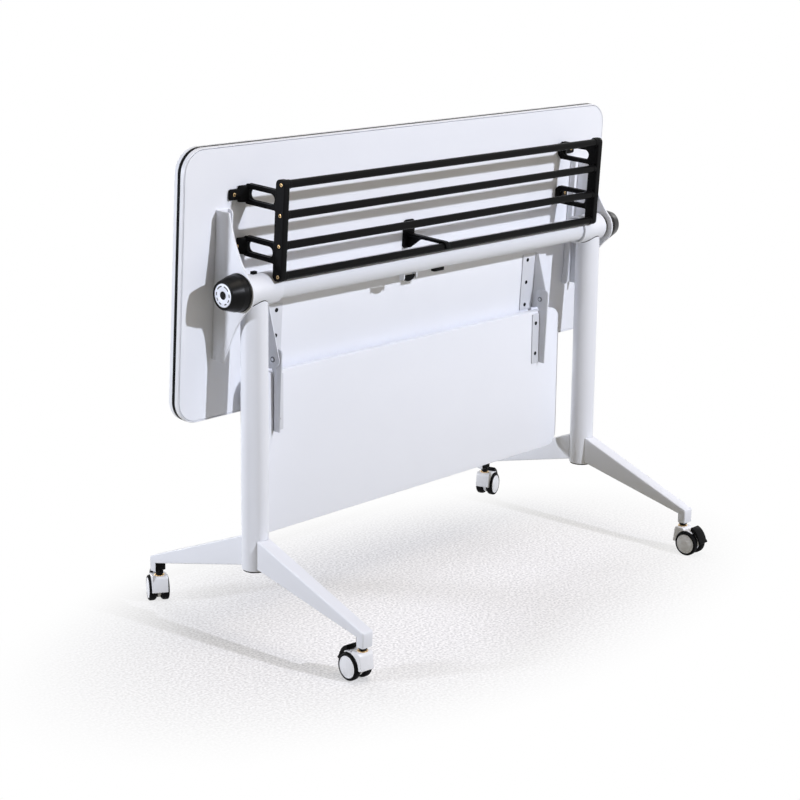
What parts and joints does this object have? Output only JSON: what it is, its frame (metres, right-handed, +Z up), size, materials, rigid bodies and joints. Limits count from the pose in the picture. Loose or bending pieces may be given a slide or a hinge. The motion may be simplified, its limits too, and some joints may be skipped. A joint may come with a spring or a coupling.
{
  "type": "flip top training table",
  "caption": "Wheeled training table with a tilting white top, shown folded almost upright on a two-column stand, with a book rack, a hinged modesty panel and locking casters.",
  "frame": {"origin": "middle of the footprint, on the floor", "axes": "+X along the beam and the long side of the top, -Y towards the user who stands at the rack side, +Z up"},
  "size_m": [1.2, 0.65, 0.9137],
  "materials": {
    "white_paint": "satin white powder coat on steel tube and plate",
    "white_casting": "satin white powder coat on a die casting",
    "white_board": "white laminate on particle board",
    "black_edge": "black edge strip",
    "black_plastic": "moulded black plastic",
    "black_tube": "black coated tube",
    "white_plastic": "moulded white plastic",
    "wheel_rubber": "black tread with a white side disc",
    "grey_steel": "satin zinc plated sheet",
    "dark_steel": "dark zinc plated",
    "bright_steel": "bright drawn bar"
  },
  "bodies": {
    "stand": {"column_left": "white_paint", "head_left": "white_paint", "friction_ring_left": "black_plastic", "hub_shaft_left": "bright_steel", "knob_left": "black_plastic", "column_right": "white_paint", "head_right": "white_paint", "friction_ring_right": "black_plastic", "hub_shaft_right": "bright_steel", "knob_right": "black_plastic", "beam": "white_paint", "foot_front_left": "white_casting", "caster_stem_front_left": "dark_steel", "foot_front_right": "white_casting", "caster_stem_front_right": "dark_steel", "foot_rear_left": "white_casting", "caster_stem_rear_left": "dark_steel", "foot_rear_right": "white_casting", "caster_stem_rear_right": "dark_steel"},
    "top": {"tabletop": "white_board", "edge_stripe": "black_edge", "flip_bracket_left": "white_paint", "rack_end_left": "black_plastic", "upper_hinge_left": "grey_steel", "flip_bracket_right": "white_paint", "rack_end_right": "black_plastic", "upper_hinge_right": "grey_steel", "rack_bar_1": "black_tube", "rack_bar_2": "black_tube", "rack_bar_3": "black_tube", "rack_bar_4": "black_tube", "rack_hanger": "black_plastic"},
    "panel": {"modesty_panel": "white_board", "lower_hinge_left": "grey_steel", "hinge_pin_left": "dark_steel", "lower_hinge_right": "grey_steel", "hinge_pin_right": "dark_steel"},
    "lever": {"release_lever": "black_plastic"},
    "rod_left": {"lock_rod_left": "bright_steel"},
    "rod_right": {"lock_rod_right": "bright_steel"},
    "caster_front_left": {"caster_hood_front_left": "white_plastic", "caster_axle_front_left": "bright_steel"},
    "wheel_a_front_left": {"caster_wheel_a_front_left": "wheel_rubber"},
    "wheel_b_front_left": {"caster_wheel_b_front_left": "wheel_rubber"},
    "pedal_front_left": {"brake_pedal_front_left": "black_plastic"},
    "caster_front_right": {"caster_hood_front_right": "white_plastic", "caster_axle_front_right": "bright_steel"},
    "wheel_a_front_right": {"caster_wheel_a_front_right": "wheel_rubber"},
    "wheel_b_front_right": {"caster_wheel_b_front_right": "wheel_rubber"},
    "pedal_front_right": {"brake_pedal_front_right": "black_plastic"},
    "caster_rear_left": {"caster_hood_rear_left": "white_plastic", "caster_axle_rear_left": "bright_steel"},
    "wheel_a_rear_left": {"caster_wheel_a_rear_left": "wheel_rubber"},
    "wheel_b_rear_left": {"caster_wheel_b_rear_left": "wheel_rubber"},
    "pedal_rear_left": {"brake_pedal_rear_left": "black_plastic"},
    "caster_rear_right": {"caster_hood_rear_right": "white_plastic", "caster_axle_rear_right": "bright_steel"},
    "wheel_a_rear_right": {"caster_wheel_a_rear_right": "wheel_rubber"},
    "wheel_b_rear_right": {"caster_wheel_b_rear_right": "wheel_rubber"},
    "pedal_rear_right": {"brake_pedal_rear_right": "black_plastic"}
  },
  "joints": [
    {"name": "top_flip", "type": "hinge", "parent": "stand", "child": "top", "pos_m": [0, 0.00053, 0.659], "axis": [1, 0, 0], "range_deg": [0, 86.7]},
    {"name": "panel_hinge", "type": "hinge", "parent": "top", "child": "panel", "pos_m": [0, 0.04927, 0.50856], "axis": [1, 0, 0], "range_deg": [-86.7, 0]},
    {"name": "release_lever_pull", "type": "hinge", "parent": "stand", "child": "lever", "pos_m": [-0.081, 0.00053, 0.6295], "axis": [1, 0, 0], "range_deg": [-25, 0]},
    {"name": "lock_rod_left_slide", "type": "slide", "parent": "stand", "child": "rod_left", "axis": [1, 0, 0], "range_m": [0, 0.006], "stiffness_N_per_m": 300, "springref_m": -0.005},
    {"name": "lock_rod_right_slide", "type": "slide", "parent": "stand", "child": "rod_right", "axis": [-1, 0, 0], "range_m": [0, 0.006]},
    {"name": "caster_swivel_front_left", "type": "hinge", "parent": "stand", "child": "caster_front_left", "pos_m": [-0.486, -0.27247, 0.05], "axis": [0, 0, 1], "continuous": true},
    {"name": "wheel_a_spin_front_left", "type": "hinge", "parent": "caster_front_left", "child": "wheel_a_front_left", "pos_m": [-0.48391, -0.25258, 0.025], "axis": [-0.9945, 0.1045, 0], "continuous": true},
    {"name": "wheel_b_spin_front_left", "type": "hinge", "parent": "caster_front_left", "child": "wheel_b_front_left", "pos_m": [-0.48391, -0.25258, 0.025], "axis": [-0.9945, 0.1045, 0], "continuous": true},
    {"name": "brake_pedal_press_front_left", "type": "hinge", "parent": "caster_front_left", "child": "pedal_front_left", "pos_m": [-0.4828, -0.24204, 0.05413], "axis": [-0.9945, 0.1045, 0], "range_deg": [0, 6]},
    {"name": "caster_swivel_front_right", "type": "hinge", "parent": "stand", "child": "caster_front_right", "pos_m": [0.486, -0.27247, 0.05], "axis": [0, 0, 1], "continuous": true},
    {"name": "wheel_a_spin_front_right", "type": "hinge", "parent": "caster_front_right", "child": "wheel_a_front_right", "pos_m": [0.486, -0.29247, 0.025], "axis": [1, 0, 0], "continuous": true},
    {"name": "wheel_b_spin_front_right", "type": "hinge", "parent": "caster_front_right", "child": "wheel_b_front_right", "pos_m": [0.486, -0.29247, 0.025], "axis": [1, 0, 0], "continuous": true},
    {"name": "brake_pedal_press_front_right", "type": "hinge", "parent": "caster_front_right", "child": "pedal_front_right", "pos_m": [0.486, -0.30307, 0.05413], "axis": [1, 0, 0], "range_deg": [0, 6]},
    {"name": "caster_swivel_rear_left", "type": "hinge", "parent": "stand", "child": "caster_rear_left", "pos_m": [-0.486, 0.27353, 0.05], "axis": [0, 0, 1], "continuous": true},
    {"name": "wheel_a_spin_rear_left", "type": "hinge", "parent": "caster_rear_left", "child": "wheel_a_rear_left", "pos_m": [-0.4757, 0.29067, 0.025], "axis": [-0.8572, 0.515, 0], "continuous": true},
    {"name": "wheel_b_spin_rear_left", "type": "hinge", "parent": "caster_rear_left", "child": "wheel_b_rear_left", "pos_m": [-0.4757, 0.29067, 0.025], "axis": [-0.8572, 0.515, 0], "continuous": true},
    {"name": "brake_pedal_press_rear_left", "type": "hinge", "parent": "caster_rear_left", "child": "pedal_rear_left", "pos_m": [-0.47024, 0.29976, 0.05413], "axis": [-0.8572, 0.515, 0], "range_deg": [0, 6]},
    {"name": "caster_swivel_rear_right", "type": "hinge", "parent": "stand", "child": "caster_rear_right", "pos_m": [0.486, 0.27353, 0.05], "axis": [0, 0, 1], "continuous": true},
    {"name": "wheel_a_spin_rear_right", "type": "hinge", "parent": "caster_rear_right", "child": "wheel_a_rear_right", "pos_m": [0.50513, 0.27938, 0.025], "axis": [-0.2924, 0.9563, 0], "continuous": true},
    {"name": "wheel_b_spin_rear_right", "type": "hinge", "parent": "caster_rear_right", "child": "wheel_b_rear_right", "pos_m": [0.50513, 0.27938, 0.025], "axis": [-0.2924, 0.9563, 0], "continuous": true},
    {"name": "brake_pedal_press_rear_right", "type": "hinge", "parent": "caster_rear_right", "child": "pedal_rear_right", "pos_m": [0.51526, 0.28248, 0.05413], "axis": [-0.2924, 0.9563, 0], "range_deg": [0, 6]}
  ],
  "couplings": [
    {"joint": "panel_hinge", "follows": "top_flip", "ratio": -1},
    {"joint": "lock_rod_right_slide", "follows": "lock_rod_left_slide", "ratio": 1},
    {"joint": "release_lever_pull", "follows": "lock_rod_left_slide", "rad_per_m": -72.7}
  ]
}
